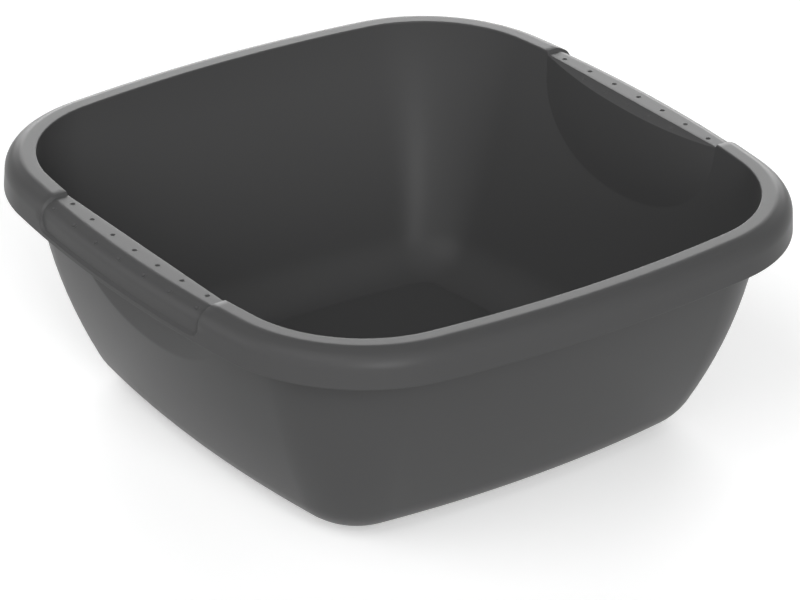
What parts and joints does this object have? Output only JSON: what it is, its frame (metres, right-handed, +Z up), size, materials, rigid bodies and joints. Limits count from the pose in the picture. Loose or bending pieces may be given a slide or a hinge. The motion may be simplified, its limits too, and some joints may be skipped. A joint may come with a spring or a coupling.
{
  "type": "square basin",
  "caption": "Open square plastic wash basin with rounded corners, a turned-down rim and a finger grip on two opposite sides.",
  "frame": {"origin": "centre of the foot, on the surface that the basin stands on", "axes": "+Z up out of the mouth; +X and -X point at the two sides with finger grips"},
  "size_m": [0.38, 0.38, 0.146],
  "materials": {
    "basin_plastic": "dark grey moulded polypropylene, semi-matte"
  },
  "bodies": {
    "root": {"basin": "basin_plastic"}
  },
  "joints": []
}
